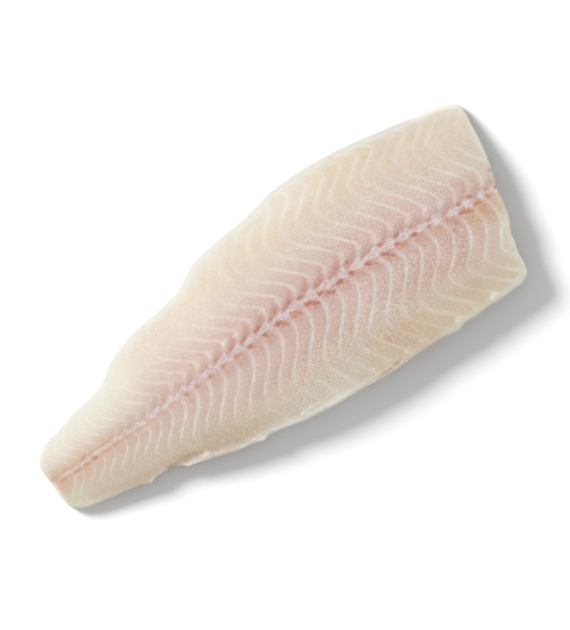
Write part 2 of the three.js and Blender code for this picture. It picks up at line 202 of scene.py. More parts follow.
WHITE_MARKS = [
    (-18.9, 4.7, 2.7, 2.3, 0, 0.8), (-24.3, 4.7, 3.2, 2.3, 0, 0.8), (-10.4, 5.4, 2.7, 2.3, 0, 0.5),
    (-2.3, 7.0, 4.1, 2.7, 0, 0.7), (5.9, 6.8, 2.7, 3.2, 0, 0.7), (15.3, 6.3, 2.7, 3.2, 0, 0.6),
    (30.7, 6.8, 3.2, 4.1, 0, 0.5), (-44.6, 9.5, 4.1, 1.8, 40, 0.6), (-41.9, 7.2, 4.5, 1.1, 60, 0.5),
    (-33.8, 4.5, 2.7, 2.3, 0, 0.6), (-27.5, 5.0, 1.8, 1.8, 0, 0.3), (85.4, -2.6, 5.0, 5.4, 0, 0.95),
    (93.2, -3.9, 4.4, 3.6, 0, 0.95), (101.0, -4.1, 4.6, 3.4, 0, 0.9), (108.4, -4.6, 3.4, 4.0, 0, 0.8),
    (114.1, -5.4, 1.8, 4.1, 0, 0.7), (-116.3, -6.3, 2.3, 1.4, 30, 0.5), (46.0, -0.5, 5.0, 2.7, 0, 0.7),
    (30.7, -0.9, 4.1, 2.3, 0, 0.6), (54.1, -0.9, 2.7, 2.3, 0, 0.6), (63.1, 0.0, 4.1, 2.7, 0, 0.7),
    (77.5, -2.7, 3.6, 2.7, 0, 0.6), (77.5, 7.7, 5.4, 4.5, 0, 0.4), (-2.7, -4.1, 3.2, 4.1, 0, 0.4),
    (5.9, -4.1, 2.7, 3.6, 0, 0.35), (14.0, -3.6, 2.7, 3.6, 0, 0.4), (22.5, -5.0, 2.3, 3.6, 0, 0.4),
    (30.7, -4.1, 2.3, 2.7, 0, 0.4), (45.1, -3.6, 2.7, 3.6, 0, 0.4), (55.0, -4.1, 2.3, 2.7, 0, 0.5),
]
MEMBRANE = [
    (-67.2, -32.6, 3.2, 1.4, -20, 1), (-63.6, -33.1, 5.4, 1.8, -18, 0.8), (-59.1, -32.5, 6.3, 2.3, -12, 0.8),
    (-58.2, -30.9, 3.6, 0.9, 5, 0.8), (-53.2, -35.2, 9.0, 1.8, -20, 0.5), (-45.1, -38.3, 10.8, 1.4, -12, 0.6),
    (-36.1, -38.8, 7.2, 0.9, -3, 0.7), (-33.8, -40.6, 13.5, 1.4, -6, 0.5), (-24.8, -41.7, 6.3, 1.4, -14, 0.8),
    (-20.7, -42.6, 6.3, 1.4, -14, 0.8), (-16.2, -43.7, 4.5, 1.4, -10, 0.9), (-12.2, -41.3, 3.6, 0.9, 0, 0.9),
    (-7.7, -41.2, 5.4, 1.0, 0, 1), (-3.6, -41.9, 4.5, 0.9, -6, 0.6), (1.4, -40.6, 2.7, 1.4, 30, 0.4),
    (-13.5, -44.2, 9.0, 1.4, -8, 0.6), (0.0, -44.6, 27.1, 3.2, -2, 0.45), (25.7, -42.8, 2.7, 1.1, 10, 0.9),
    (22.5, -43.3, 3.6, 0.9, 0, 0.5), (41.5, -44.2, 2.3, 1.8, 30, 0.8), (43.7, -43.7, 2.7, 1.8, 10, 0.8),
    (39.7, -45.5, 3.6, 1.1, 0, 0.6), (49.6, -44.2, 2.3, 1.8, 45, 0.7), (50.9, -45.5, 3.6, 1.8, 0, 0.5),
    (69.0, -45.5, 3.6, 2.7, -30, 0.8), (78.0, -45.1, 4.1, 1.8, 0, 0.5), (87.9, -45.5, 3.6, 2.7, 0, 0.9),
    (100.1, -45.1, 4.5, 2.7, -30, 0.4), (-61.0, 25.2, 14.0, 0.9, 20, 0.45), (-57.0, 28.6, 8.0, 0.8, 16, 0.4), (-81.6, -28.4, 9.0, 1.2, 2, 0.9), (-85.7, -29.1, 3.6, 1.1, -10, 0.7),
    (-79.4, -27.1, 3.6, 0.9, 0, 0.3), (106.4, -39.7, 2.3, 13.5, 0, 0.4), (109.6, -29.8, 2.3, 9.0, -15, 0.5),
]

# ---------------------------------------------------------------------------
# Small curve helpers
# ---------------------------------------------------------------------------


def slopes(x, y):
    """End-safe slopes that keep a curve through x, y from overshooting."""
    h = np.diff(x)
    d = np.diff(y) / h
    m = np.empty(len(x))
    m[0], m[-1] = d[0], d[-1]
    for i in range(1, len(x) - 1):
        if d[i - 1] * d[i] <= 0:
            m[i] = 0.0
        else:
            w1, w2 = 2 * h[i] + h[i - 1], h[i] + 2 * h[i - 1]
            m[i] = (w1 + w2) / (w1 / d[i - 1] + w2 / d[i])
    return m


def through(x, y, q):
    """Smooth curve through the knots, held level past both ends."""
    x, y = np.asarray(x, float), np.asarray(y, float)
    m = slopes(x, y)
    q = np.clip(q, x[0], x[-1])
    i = np.clip(np.searchsorted(x, q) - 1, 0, len(x) - 2)
    h = x[i + 1] - x[i]
    t = (q - x[i]) / h
    return ((2 * t**3 - 3 * t**2 + 1) * y[i] + (t**3 - 2 * t**2 + t) * h * m[i]
            + (-2 * t**3 + 3 * t**2) * y[i + 1] + (t**3 - t**2) * h * m[i + 1])


def round_curve(points, per=24):
    """Centripetal curve through plan points, densely sampled."""
    p = np.array(points, float)
    a = np.vstack([2 * p[0] - p[1], p, 2 * p[-1] - p[-2]])
    out = []
    for i in range(1, len(a) - 2):
        p0, p1, p2, p3 = a[i - 1:i + 3]
        t0 = 0.0
        t1 = t0 + np.linalg.norm(p1 - p0) ** 0.5
        t2 = t1 + np.linalg.norm(p2 - p1) ** 0.5
        t3 = t2 + np.linalg.norm(p3 - p2) ** 0.5
        t = np.linspace(t1, t2, per, endpoint=False)[:, None]
        a1 = (t1 - t) / (t1 - t0) * p0 + (t - t0) / (t1 - t0) * p1
        a2 = (t2 - t) / (t2 - t1) * p1 + (t - t1) / (t2 - t1) * p2
        a3 = (t3 - t) / (t3 - t2) * p2 + (t - t2) / (t3 - t2) * p3
        b1 = (t2 - t) / (t2 - t0) * a1 + (t - t0) / (t2 - t0) * a2
        b2 = (t3 - t) / (t3 - t1) * a2 + (t - t1) / (t3 - t1) * a3
        out.append((t2 - t) / (t2 - t1) * b1 + (t - t1) / (t2 - t1) * b2)
    out.append(p[-1:])
    return np.vstack(out)


def evenly(curve, n):
    step = np.r_[0, np.cumsum(np.linalg.norm(np.diff(curve, axis=0), axis=1))]
    s = np.linspace(0, step[-1], n + 1)
    return np.column_stack([np.interp(s, step, curve[:, 0]), np.interp(s, step, curve[:, 1])])


def smooth_step(x, lo, hi):
    t = np.clip((x - lo) / (hi - lo), 0, 1)
    return t * t * (3 - 2 * t)


def bump(x, at, width):
    return np.exp(-0.5 * ((x - at) / width) ** 2)


def waves(s, length, size, count, seed):
    """Uneven ripple of a periodic or open coordinate s, about size high."""
    r = np.random.default_rng(seed)
    y = np.zeros_like(s)
    for _ in range(count):
        k = r.uniform(0.6, 1.7)
        y += r.normal() * np.sin(2 * math.pi * s * k / length + r.uniform(0, 6.283))
    return y * size / math.sqrt(count * 0.5)


def mid_y(x):
    return through(MIDLINE_X, MIDLINE_Y, x)


def back_y(x):
    return through(STATION_X, EDGE_BACK, x)


def belly_y(x):
    return through(STATION_X, EDGE_BELLY, x)


# ---------------------------------------------------------------------------
# The zigzag field: which muscle block a place belongs to
# ---------------------------------------------------------------------------

FINE = np.linspace(0, 4, 401)


def zig_lookup(table):
    t = np.array(table, float)
    return np.column_stack([through(ZIG_STEP, t[:, j], FINE) for j in range(t.shape[1])])


LOOK = {1: zig_lookup(ZIG_BACK), -1: zig_lookup(ZIG_BELLY)}
STEPS = {1: STEP_BACK, -1: STEP_BELLY}
SEPTA = {1: np.array(SEPTA_BACK), -1: np.array(SEPTA_BELLY)}


def zig(w, x, side):
    """How far ahead of its shoulder a sheet lies, w out from the midline."""
    s1, s2, s3 = (np.interp(x, ZIG_X, STEPS[side][k]) for k in (1, 2, 3))
    w = np.maximum(w, 0.0)
    r = np.where(w < s1, w / s1, np.where(w < s2, 1 + (w - s1) / (s2 - s1),
                 np.where(w < s3, 2 + (w - s2) / (s3 - s2), 3 + (w - s3) / (4.2 if side > 0 else 6.3))))
    f = np.clip(r, 0, 4) * 100
    i = np.minimum(f.astype(int), 399)
    g = np.clip(np.interp(x, ZIG_X, np.arange(len(ZIG_X))), 0, len(ZIG_X) - 1 - 1e-6)
    j = g.astype(int)
    fi, fj = f - i, g - j
    t = LOOK[side]
    return ((t[i, j] * (1 - fj) + t[i, j + 1] * fj) * (1 - fi)
            + (t[i + 1, j] * (1 - fj) + t[i + 1, j + 1] * fj) * fi)


def block_field(x, w, side):
    """Block number, and millimetres across the sheets for one block."""
    shoulder = x.copy()
    for _ in range(30):
        shoulder = 0.4 * shoulder + 0.6 * (x - zig(w, shoulder, side))
    at = SEPTA[side]
    n = np.interp(shoulder, at, np.arange(len(at)))
    i = np.clip(n.astype(int), 0, len(at) - 2)
    spacing = through(np.arange(len(at) - 1) + 0.5, np.diff(at), n)
    lean = (zig(w + 0.4, shoulder, side) - zig(w - 0.4, shoulder, side)) / 0.8
    return n, spacing / np.sqrt(1 + lean**2)


# ---------------------------------------------------------------------------
# Mesh of the fillet: columns round the outline, rows from the midline on top
# over the rim and back to the midline underneath
# ---------------------------------------------------------------------------

HALF = 480
TOP_ROWS, RIM_ROWS, BASE_ROWS, UNDER_ROWS = 70, 10, 8, 8
ROWS = TOP_ROWS + RIM_ROWS + BASE_ROWS + UNDER_ROWS

back_ring = evenly(round_curve(OUTLINE_BACK), HALF)
belly_ring = evenly(round_curve(OUTLINE_BELLY), HALF)

spine_x = np.empty(HALF + 1)
mean_x = (back_ring[:, 0] + belly_ring[:, 0]) / 2
for k in range(HALF + 1):
    f = min((mean_x[k] + 125.0) / 238.4, 1.0)
    x = -118.0 + f * (101.4 + 118.0)
    spine_x[k] = x if k == 0 else min(x, spine_x[k - 1] - 0.03)
spine_x[0], spine_x[HALF] = spine_x[1], spine_x[HALF - 1]

edge = np.vstack([back_ring, belly_ring[HALF - 1:0:-1]])
AROUND = len(edge)
index = np.arange(AROUND)
on_back = index <= HALF
partner = np.where(on_back, index, AROUND - index)
spine = np.column_stack([spine_x[partner], mid_y(spine_x[partner])])

ahead = np.roll(edge, -1, axis=0) - np.roll(edge, 1, axis=0)
ahead /= np.linalg.norm(ahead, axis=1)[:, None]
inward = np.column_stack([-ahead[:, 1], ahead[:, 0]])
reach = np.linalg.norm(spine - edge, axis=1)
direction = (spine - edge) / reach[:, None]
square = np.maximum((direction * inward).sum(1), 0.6)
on_cut = smooth_step(np.abs(inward[:, 0]), 0.55, 0.9)
taper = 0.7 + 0.3 * smooth_step(edge[:, 0], -125, 0)
side_rim = np.where(on_back, RIM_BACK, RIM_BELLY) * taper
end_rim = np.where(edge[:, 0] > 0, RIM_CUT, RIM_TAIL)
rim = np.minimum(side_rim + (end_rim - side_rim) * on_cut, 0.6 * reach * square)
for _ in range(240):
    rim = (np.roll(rim, 1) + 2 * rim + np.roll(rim, -1)) / 4
    square = (np.roll(square, 1) + 2 * square + np.roll(square, -1)) / 4

along = np.r_[0, np.cumsum(np.linalg.norm(np.diff(edge, axis=0), axis=1))]


def dome(x, y):
    """Smooth height of the flesh over the resting face."""
    mid = mid_y(x)
    back = y > mid
    t = np.clip(np.abs(y - mid) / np.abs(np.where(back, back_y(x), belly_y(x)) - mid), 0, 1)
    fall = np.where(back, DROP_BACK * t**2, DROP_BELLY * t**3)
    return through(THICK_X, THICK, x) * (1 - fall)


plan = np.zeros((ROWS + 1, AROUND, 2))
height = np.zeros((ROWS + 1, AROUND))
row_top = TOP_ROWS
row_rim = TOP_ROWS + RIM_ROWS
row_base = row_rim + BASE_ROWS

shoulder_share = rim / square / reach
for r in range(TOP_ROWS + 1):
    s = (r / TOP_ROWS) ** 1.12 * (1 - shoulder_share)
    plan[r] = spine + (edge - spine) * s[:, None]
    height[r] = dome(plan[r, :, 0], plan[r, :, 1])
side_high = dome(edge[:, 0], edge[:, 1])
widest = WIDEST * side_high
high = height[row_top]
for r in range(1, RIM_ROWS + 1):
    a = (math.pi / 2) * (1 - r / RIM_ROWS)
    inset = rim * (1 - math.cos(a))
    plan[row_top + r] = edge + direction * (inset / square)[:, None]
    over = dome(plan[row_top + r, :, 0], plan[row_top + r, :, 1])
    height[row_top + r] = widest + (over - widest) * math.sin(a)
for r in range(1, BASE_ROWS + 1):
    a = (math.pi / 2) * r / BASE_ROWS
    inset = TUCK * side_high * (1 - math.cos(a))
    plan[row_rim + r] = edge + direction * (inset / square)[:, None]
    height[row_rim + r] = widest * (1 - math.sin(a))
under_edge = plan[row_base].copy()
for r in range(1, UNDER_ROWS + 1):
    plan[row_base + r] = under_edge + (spine - under_edge) * (r / UNDER_ROWS)
    height[row_base + r] = 0.0

X, Y, Z = plan[..., 0].copy(), plan[..., 1].copy(), height.copy()

# depth below the lit surface, used to carry the sheets down into the flesh
seen = widest + (high - widest) * 0.85
depth = np.zeros_like(Z)
depth[row_top + 1:row_base + 1] = np.maximum(seen[None, :] - Z[row_top + 1:row_base + 1], 0)
under = np.linspace(0, 1, UNDER_ROWS + 1)[:, None]
depth[row_base:] = seen[None, :] * (1 - under) + dome(X[row_base:], Y[row_base:]) * under

W = Y - mid_y(X)
xs = X + DEPTH_SLANT * depth
n_back, per_back = block_field(xs, W, 1)
n_belly, per_belly = block_field(xs, -W, -1)
rim_distance = np.zeros_like(Z)
for r in range(ROWS + 1):
    rim_distance[r] = ((plan[r] - edge) * direction).sum(1) * square
# distance to the belly edge without its small notches
even = smooth_step(X, -118, -108) * (1 - smooth_step(X, 97, 105)) * (W < 0)
belly_even = sum(belly_y(X + shift) for shift in (-4, -3, -2, -1, 0, 1, 2, 3, 4)) / 9
rim_distance = rim_distance * (1 - even) + np.maximum(Y - belly_even, 0) * 0.97 * even

# ---------------------------------------------------------------------------
# Relief
# ---------------------------------------------------------------------------
side_n = np.where(W > 0, n_back, n_belly)
phase = side_n - np.floor(side_n)
puff = 1 - np.abs(2 * phase - 1) ** 3
size_here = 0.5 + 0.5 * smooth_step(X, -110, -20)
puff_size = 0.16 * size_here * smooth_step(np.abs(W), 2.0, 8.0) * (1 - 0.6 * smooth_step(np.abs(W), 26, 40))
top_part = np.zeros_like(Z)
top_part[:row_top + 1] = 1.0
for r in range(1, RIM_ROWS + 1):
    top_part[row_top + r] = math.cos((math.pi / 2) * r / RIM_ROWS)
lift = puff * puff_size
furrow = 0.22 * bump(W, 0.0, 2.6) * (0.6 + 0.4 * size_here)
ridge_back = 0.22 * bump(W, 5.2, 1.8) * (0.5 + 0.5 * np.sin(2 * math.pi * n_back)) * size_here
lift = lift - furrow + ridge_back
Z = Z + lift * top_part

# gentle unevenness of the whole top
roll = (waves(X + 0.3 * Y, 60, 0.16, 5, 3) + waves(Y - 0.4 * X, 38, 0.10, 5, 4)
        + waves(X - 0.2 * Y, 21, 0.06, 5, 5))
Z = Z + roll * top_part * (0.4 + 0.6 * size_here)

# ---------------------------------------------------------------------------
# Marks as soft masks on the mesh
# ---------------------------------------------------------------------------


def ripple(length, size, seed):
    """Uneven shift of the plan, about size, with waves of about this length."""
    r = np.random.default_rng(seed)
    total = np.zeros_like(X)
    for _ in range(12):
        k = 2 * math.pi / (length * r.uniform(0.6, 1.6))
        way = r.uniform(0, 2 * math.pi)
        total += np.sin(k * (X * math.cos(way) + Y * math.sin(way)) + r.uniform(0, 2 * math.pi))
    return total * size / math.sqrt(6)


RAGGED_X = X + ripple(2.6, 0.40, 21)
RAGGED_Y = Y + ripple(2.2, 0.26, 22)


def paint(marks, power=2.0, grow=1.0):
    total = np.zeros_like(X)
    for mx, my, length, width, turn, strength in marks:
        ca, sa = math.cos(math.radians(turn)), math.sin(math.radians(turn))
        dx, dy = RAGGED_X - mx, RAGGED_Y - my
        q = ((dx * ca + dy * sa) / (length * 0.5 * grow)) ** 2 + ((dy * ca - dx * sa) / (width * 0.5 * grow)) ** 2
        total = np.maximum(total, strength * np.exp(-0.8 * q ** (power / 2)))
    return total * upper


upper = np.zeros_like(Z)
upper[:row_rim + 2] = 1.0
upper = upper * (1 - smooth_step(depth, 2.0, 5.5))      # the marks stay on the top and its rounded rim
spot_mask = paint(SPOTS)
end_mask = paint(BLOCK_ENDS)
tan_mask = paint(TAN_MARKS)
white_mask = paint(WHITE_MARKS)
membrane_mask = paint(MEMBRANE)

# ---------------------------------------------------------------------------
# Mesh
# ---------------------------------------------------------------------------
row_ids = np.arange((ROWS + 1) * AROUND).reshape(ROWS + 1, AROUND)
ids = row_ids.copy()
for r in (0, ROWS):
    for k in range(AROUND):
        p = k if k <= HALF else AROUND - k
        p = 1 if p == 0 else (HALF - 1 if p == HALF else p)
        ids[r, k] = row_ids[r, p]
co = np.column_stack([X.ravel(), Y.ravel(), Z.ravel()]) * MM
a = ids[:-1, :]
b = ids[1:, :]
c = np.roll(ids, -1, axis=1)[1:, :]
d = np.roll(ids, -1, axis=1)[:-1, :]
quads = np.stack([a, b, c, d], axis=-1).reshape(-1, 4)
faces = []
for q in quads.tolist():
    f = [q[0]]
    for v in q[1:]:
        if v != f[-1] and v != f[0]:
            f.append(v)
    if len(f) > 2:
        faces.append(f)
used = np.unique(np.concatenate([np.asarray(f) for f in faces]))
new = -np.ones(len(co), int)
new[used] = np.arange(len(used))
faces = [[int(new[v]) for v in f] for f in faces]

mesh = bpy.data.meshes.new("fillet_flesh")
mesh.from_pydata(co[used].tolist(), [], faces)
mesh.update()
for p in mesh.polygons:
    p.use_smooth = True


def attribute(name, values):
    layer = mesh.attributes.new(name, "FLOAT", "POINT")
    layer.data.foreach_set("value", np.asarray(values, np.float32).ravel()[used])


attribute("n_back", n_back)
attribute("n_belly", n_belly)
attribute("per_back", per_back)
attribute("per_belly", per_belly)
attribute("across", W)
attribute("rim", rim_distance)
attribute("deep", depth)
attribute("spot", spot_mask)
attribute("block_end", end_mask)
attribute("tan", tan_mask)
attribute("pale", white_mask)
attribute("membrane", membrane_mask)

fillet = bpy.data.objects.new("fillet_flesh", mesh)
bpy.context.scene.collection.objects.link(fillet)

# ---------------------------------------------------------------------------
# Flesh material
# ---------------------------------------------------------------------------
flesh = bpy.data.materials.new("raw_flesh")
flesh.use_nodes = True
nt = flesh.node_tree
nt.nodes.clear()


def tone(r, g, b):
    return (r, g, b, 1.0)


def node(kind, **props):
    n = nt.nodes.new(kind)
    for key, value in props.items():
        setattr(n, key, value)
    return n


def plug(socket, value):
    if isinstance(value, bpy.types.NodeSocket):
        nt.links.new(value, socket)
    else:
        socket.default_value = value


def calc(op, a, b=None, c=None, clamp=False):
    n = node("ShaderNodeMath", operation=op, use_clamp=clamp)
    for i, v in enumerate((a, b, c)):
        if v is not None:
            plug(n.inputs[i], v)
    return n.outputs[0]


def add(a, b): return calc("ADD", a, b)
def sub(a, b): return calc("SUBTRACT", a, b)
def mul(a, b, *more):
    r = calc("MULTIPLY", a, b)
    for m in more:
        r = calc("MULTIPLY", r, m)
    return r


def step(x, lo, hi, to_lo=0.0, to_hi=1.0):
    n = node("ShaderNodeMapRange", interpolation_type="SMOOTHSTEP")
    plug(n.inputs["Value"], x)
    n.inputs["From Min"].default_value = lo
    n.inputs["From Max"].default_value = hi
    n.inputs["To Min"].default_value = to_lo
    n.inputs["To Max"].default_value = to_hi
    return n.outputs["Result"]


def hill(x, at, width):
    """One at the place given, falling to nothing at one width away."""
    return step(calc("ABSOLUTE", sub(x, at)), width, 0.0)


def blend(base, over, amount, free=False):
    n = node("ShaderNodeMix", data_type="RGBA", clamp_factor=not free)
    plug(n.inputs["Factor"], amount)
    plug(n.inputs["A"], base)
    plug(n.inputs["B"], over)
    return n.outputs["Result"]


def tint(base, factors, amount):
    """Scale the colour by these factors where the amount is one."""
    n = node("ShaderNodeMix", data_type="RGBA", blend_type="MULTIPLY", clamp_factor=False)
    plug(n.inputs["Factor"], amount)
    plug(n.inputs["A"], base)
    plug(n.inputs["B"], (*factors, 1.0))
    return n.outputs["Result"]


def value(name):
    return node("ShaderNodeAttribute", attribute_name=name).outputs["Fac"]


place = node("ShaderNodeTexCoord").outputs["Object"]
mm = node("ShaderNodeVectorMath", operation="SCALE")
plug(mm.inputs[0], place)
mm.inputs["Scale"].default_value = 1000.0
mm = mm.outputs[0]
split = node("ShaderNodeSeparateXYZ")
plug(split.inputs[0], mm)
px, py, pz = split.outputs


def noise(size, detail=2.0, rough=0.5, at=None, seed=0.0, stretch=None):
    v = at or mm
    if stretch or seed:
        m = node("ShaderNodeMapping")
        plug(m.inputs["Vector"], v)
        m.inputs["Location"].default_value = (seed * 13.7, seed * 7.3, seed * 3.1)
        if stretch:
            m.inputs["Scale"].default_value = stretch
        v = m.outputs[0]
    n = node("ShaderNodeTexNoise", noise_dimensions="3D")
    plug(n.inputs["Vector"], v)
    n.inputs["Scale"].default_value = 1.0 / size
    n.inputs["Detail"].default_value = detail
    n.inputs["Roughness"].default_value = rough
    return n.outputs["Fac"]


across = value("across")
out = calc("ABSOLUTE", across)
is_back = calc("GREATER_THAN", across, 0.0)
rim_mm = value("rim")
deep = value("deep")
shallow = step(deep, 5.5, 2.0)                                           # the top and its rounded rim
wobble = sub(noise(5.0, 2.0, 0.5, seed=1), 0.5)
wobble_fine = sub(noise(1.4, 2.0, 0.6, seed=2), 0.5)


def sheet_distance(n_name, per_name):
    n = value(n_name)
    f = calc("FRACT", add(n, 0.5))
    d = calc("ABSOLUTE", sub(f, 0.5))
    return n, mul(d, value(per_name))


n_b, d_b = sheet_distance("n_back", "per_back")
n_l, d_l = sheet_distance("n_belly", "per_belly")


def choose(back, belly):
    n = node("ShaderNodeMix", data_type="FLOAT")
    plug(n.inputs["Factor"], is_back)
    plug(n.inputs["A"], belly)
    plug(n.inputs["B"], back)
    return n.outputs["Result"]


n_side = choose(n_b, n_l)
d_side = choose(d_b, d_l)
f_side = calc("ABSOLUTE", sub(calc("FRACT", add(n_side, 0.5)), 0.5))     # 0 at a sheet, 0.5 mid-block
headward = calc("FRACT", n_side)                                         # 0 past a sheet, 1 at the next
grain = noise(0.82, 1.2, 0.55, seed=6)
grain_soft = noise(2.2, 2.0, 0.5, seed=7)
patch = noise(9.0, 3.0, 0.55, seed=3)
cloud = noise(20.0, 2.0, 0.5, seed=4)

# broad colour of the flesh
color = blend(tone(0.580, 0.480, 0.396), tone(0.572, 0.478, 0.414), step(across, -10.0, 6.0))
color = blend(color, tone(0.560, 0.490, 0.390), mul(step(across, 22.0, 35.0), step(px, -70.0, -20.0)))
color = blend(color, tone(0.590, 0.495, 0.370), mul(step(across, -30.0, -40.0), step(px, -5.0, 40.0)))
color = blend(color, tone(0.545, 0.472, 0.370), mul(step(across, -4.0, -14.0), step(px, -30.0, -80.0)))
color = blend(color, tone(0.495, 0.400, 0.290), mul(step(across, -15.0, -28.0), step(px, -92.0, -70.0), step(px, -25.0, -58.0)))
color = blend(color, tone(0.570, 0.525, 0.440), mul(step(across, -26.0, -38.0), step(px, -45.0, -20.0), step(px, 35.0, 15.0), 0.8))
color = blend(color, tone(0.550, 0.405, 0.288), mul(hill(across, -36.0, 6.0), step(px, 26.0, 34.0), step(px, 62.0, 50.0), 0.75))
color = blend(color, tone(0.575, 0.520, 0.410), mul(step(across, 9.0, 20.0), step(px, -48.0, -75.0), 0.65))
color = blend(color, tone(0.566, 0.545, 0.466), mul(step(across, 2.0, 11.0), step(px, -45.0, -95.0)))
color = blend(color, tone(0.550, 0.485, 0.405), mul(step(px, 98.0, 116.0), step(across, -2.0, 6.0)))
color = blend(color, tone(0.590, 0.560, 0.450), mul(step(px, 96.0, 106.0), step(across, -12.0, -22.0), 0.85))
color = blend(color, tone(0.555, 0.435, 0.340), mul(hill(px, 107.0, 9.0), hill(across, 7.0, 8.0), 0.7))
color = blend(color, blend(tone(0.575, 0.540, 0.410), tone(0.560, 0.545, 0.460), is_back), mul(step(px, -108.0, -119.0), step(out, 4.0, 10.0)))
color = blend(color, tone(0.600, 0.550, 0.530), mul(hill(px, 41.0, 20.0), hill(across, -19.0, 14.0), step(cloud, 0.3, 0.6, 0.4, 0.9)))
color = blend(color, tone(0.600, 0.535, 0.530), mul(add(hill(px, 54.0, 11.0), hill(px, 83.0, 15.0)), hill(across, 6.0, 7.5), 0.85))
color = blend(color, tone(0.495, 0.400, 0.280), mul(hill(value("rim"), 8.0, 5.0), step(across, -20.0, -26.0), hill(px, -38.0, 36.0), 0.70))
color = blend(color, tone(0.500, 0.420, 0.345), mul(step(px, 66.0, 92.0), step(across, 14.0, 22.0), 0.28))
color = blend(color, tone(0.610, 0.530, 0.440), mul(hill(px, -27.0, 16.0), hill(across, -9.0, 8.0), 0.6))
color = blend(color, tone(0.500, 0.400, 0.300), mul(step(across, -17.0, -25.0), step(px, -84.0, -92.0), step(px, -112.0, -104.0), 0.5))
pink_back = mul(step(across, 21.0, 5.0), step(px, -105.0, -5.0, 0.25, 1.0), step(px, 118.0, 85.0, 0.15, 1.0))
pink_belly = mul(step(across, -34.0, -10.0), step(px, -95.0, 5.0, 0.12, 0.95), step(px, 116.0, 98.0, 0.1, 1.0))
pink = choose(pink_back, pink_belly)
pink = mul(pink, step(add(mul(patch, 0.6), mul(cloud, 0.4)), 0.3, 0.7, 0.7, 1.15))
color = blend(color, blend(tone(0.585, 0.430, 0.375), tone(0.560, 0.402, 0.350), is_back), pink)
# warm tissue beside the midline of the tail and of the head end
warm = mul(step(out, 7.5, 1.0), step(px, -70.0, -108.0))
color = blend(color, tone(0.600, 0.462, 0.325), mul(warm, 0.95))
warm = mul(step(across, -12.5, -6.0), step(across, 0.0, -3.0), step(px, 93.0, 104.0), step(px, 114.0, 111.0))
color = blend(color, tone(0.560, 0.400, 0.285), mul(warm, 0.75))

# yellow-brown middles of the blocks towards the edges, pink flesh next to the midline
middle = mul(step(f_side, 0.08, 0.34), step(out, 17.0, 27.0), step(px, -45.0, 5.0))
color = blend(color, tone(0.570, 0.455, 0.340), mul(middle, choose(0.38, 0.30), step(patch, 0.3, 0.62, 0.6, 1.2)))
near = mul(step(across, 0.5, -2.0), step(across, -10.0, -4.5), step(noise(3.0, 2.0, 0.6, seed=12), 0.30, 0.60, 0.6, 1.1), step(deep, 8.0, 1.0))
color = blend(color, tone(0.532, 0.338, 0.285), mul(near, step(px, -60.0, -10.0, 0.38, 0.86)))
near = mul(step(across, 4.5, 0.5), step(across, -9.0, -5.5), step(px, 70.0, 88.0), step(px, 118.0, 108.0))
color = blend(color, tone(0.550, 0.355, 0.290), mul(near, step(grain_soft, 0.36, 0.56), 0.62))
color = blend(color, tone(0.535, 0.385, 0.255), mul(hill(across, -7.0, 8.0), step(px, 92.0, 104.0), step(deep, 8.0, 1.0), 0.75))

# uneven depth of colour along the flesh
color = tint(color, (0.96, 0.92, 0.90), mul(hill(across, -21.0, 9.0), step(px, 42.0, 56.0), step(px, 96.0, 86.0), add(1.0, mul(wobble, 0.8))))
color = tint(color, (0.95, 0.94, 0.93), mul(hill(across, -20.0, 7.0), step(px, -36.0, -20.0), step(px, 34.0, 20.0)))
color = tint(color, (0.90, 0.86, 0.80), mul(hill(across, -35.5, 5.0), hill(px, -42.0, 14.0)))
color = tint(color, (0.94, 0.90, 0.87), mul(hill(across, -35.0, 6.0), hill(px, 80.0, 14.0)))
color = tint(color, (1.02, 1.07, 1.14), mul(step(across, 32.0, 40.0), step(px, -30.0, -12.0), step(px, 56.0, 38.0)))
color = tint(color, (0.94, 0.88, 0.88), mul(hill(across, 8.5, 6.0), hill(px, 104.0, 9.0)))
color = tint(color, (1.08, 1.07, 1.04), mul(hill(across, 5.2, 3.2), step(px, -62.0, -46.0), step(px, -2.0, -12.0)))
color = tint(color, (0.99, 1.00, 1.04), mul(hill(across, -7.5, 4.5), step(px, -36.0, -24.0), step(px, 78.0, 64.0)))
color = tint(color, (0.96, 0.93, 0.91), mul(hill(across, -11.0, 5.0), add(hill(px, 10.0, 20.0), hill(px, 87.0, 12.0))))
color = tint(color, (1.00, 1.04, 1.09), mul(hill(across, -13.0, 6.0), hill(px, 42.0, 14.0)))

# white sheets between the blocks, hazy and wide near the midline
line_wave = sub(noise(2.6, 1.0, 0.5, seed=11), 0.5)
wide = add(1.05, mul(step(out, 13.0, 4.0), step(px, -75.0, -30.0), 0.95))
wide = add(wide, mul(step(out, 22.0, 32.0), step(px, -30.0, 10.0), choose(0.22, 0.08)))
wide = mul(wide, add(1.0, mul(wobble, 0.9)), step(px, -85.0, -30.0, 0.68, 0.92))
d_line = calc("DIVIDE", add(d_side, mul(line_wave, 0.9)), wide)
line = step(d_line, 1.20, 0.0)
lim_back = sub(out, step(px, -110.0, 40.0, 10.0, 23.0))
fade_back = mul(step(lim_back, 12.0, -14.0), step(px, -125.0, -35.0, 1.15, 0.86), step(px, 40.0, 110.0, 1.0, 0.80))
fade_back = mul(fade_back, add(1.0, mul(hill(out, 16.5, 8.0), step(px, -60.0, -30.0), 0.22)))
fade_back = add(fade_back, mul(step(out, 20.0, 36.0, 0.10, 0.72), step(px, -30.0, 60.0)))
lim_belly = sub(out, step(px, -125.0, -5.0, 8.5, 26.0))
fade_belly = mul(step(lim_belly, 3.5, -2.8), step(px, -122.0, -40.0, 0.95, 1.20))
fade_belly = add(fade_belly, mul(step(lim_belly, -2.0, 3.0), step(out, 29.0, 38.0, 0.36, 0.70), step(px, -85.0, 0.0, 0.42, 1.0), step(px, 12.0, 30.0, 1.0, 1.2)))
